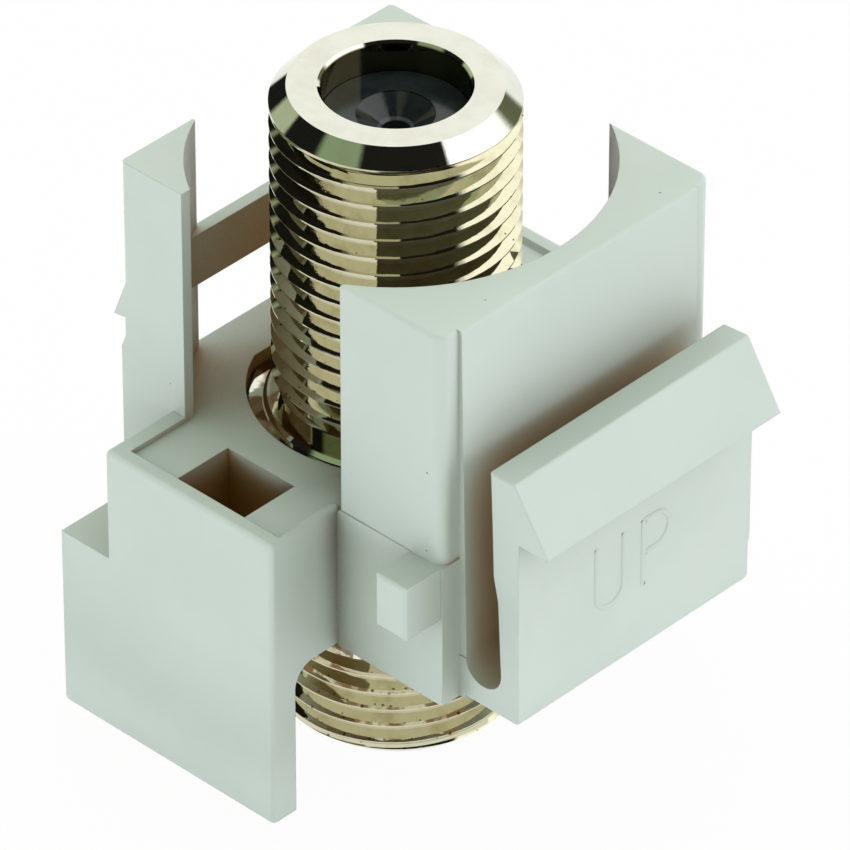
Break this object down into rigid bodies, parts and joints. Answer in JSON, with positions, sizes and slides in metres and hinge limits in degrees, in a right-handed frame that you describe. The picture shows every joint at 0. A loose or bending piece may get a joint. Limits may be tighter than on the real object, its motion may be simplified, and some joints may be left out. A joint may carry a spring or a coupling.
{
  "type": "keystone f connector insert",
  "caption": "Snap-in keystone insert for a wall plate: moulded housing with sprung latch lever around a nickel-plated threaded F coupler that joins two coaxial plugs.",
  "frame": {"origin": "on the barrel's axis, at the level of the housing's floor", "axes": "+Z along the barrel towards the wall plate's front, +X towards the latch lever"},
  "size_m": [0.0217, 0.0218, 0.0282],
  "materials": {
    "housing_plastic": "moulded",
    "nickel": "nickel-plated brass",
    "insulator_plastic": "moulded",
    "contact_alloy": "copper alloy"
  },
  "bodies": {
    "insert": {"housing": "housing_plastic", "barrel_shell": "nickel", "rear_nut": "nickel", "front_insulator": "insulator_plastic", "rear_insulator": "insulator_plastic", "centre_contact": "contact_alloy"},
    "latch": {"latch_lever": "housing_plastic"}
  },
  "joints": [
    {"name": "latch_flex", "type": "hinge", "parent": "insert", "child": "latch", "pos_m": [0.012, 0, -0.00453], "axis": [0, -1, 0], "range_deg": [0, 7], "stiffness_Nm_per_rad": 0.1}
  ]
}
